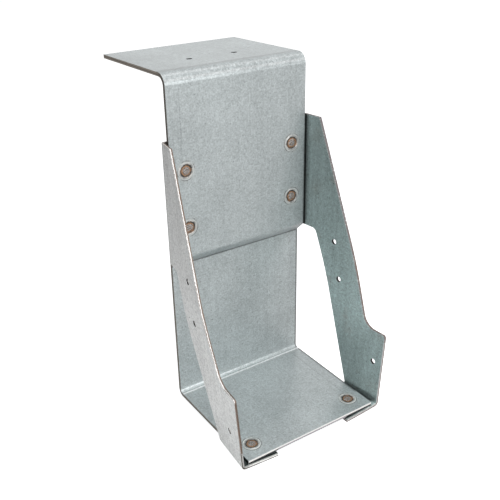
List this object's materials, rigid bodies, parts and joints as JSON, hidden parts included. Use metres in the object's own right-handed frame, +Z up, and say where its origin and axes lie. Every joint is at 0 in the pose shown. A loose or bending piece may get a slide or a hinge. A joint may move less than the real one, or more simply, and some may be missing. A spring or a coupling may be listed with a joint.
{
  "type": "joist hanger",
  "caption": "Welded sheet-steel top-flange hanger: a flange bears on a wall or beam, a joggled back plate hangs from it and a seat with tapered side plates holds a joist end.",
  "frame": {"origin": "middle of the joist's lower end edge: where the upper back plate's front face would meet the seat's top face, half way across the joist", "axes": "+X across the joist, to the right of someone facing the hanger from the joist's side; +Y back into the wall; +Z up"},
  "size_m": [0.119, 0.1619, 0.2276],
  "materials": {
    "strap_zinc": "satin galvanised steel sheet with a fine mottled grain",
    "side_plate_zinc": "satin galvanised steel sheet, slightly warmer and brushed",
    "weld_metal": "matt fused steel with a brown heat tint"
  },
  "bodies": {
    "root": {"strap": "strap_zinc", "left_side_plate": "side_plate_zinc", "right_side_plate": "side_plate_zinc", "back_spot_welds": "weld_metal", "seat_spot_welds": "weld_metal"}
  },
  "joints": []
}
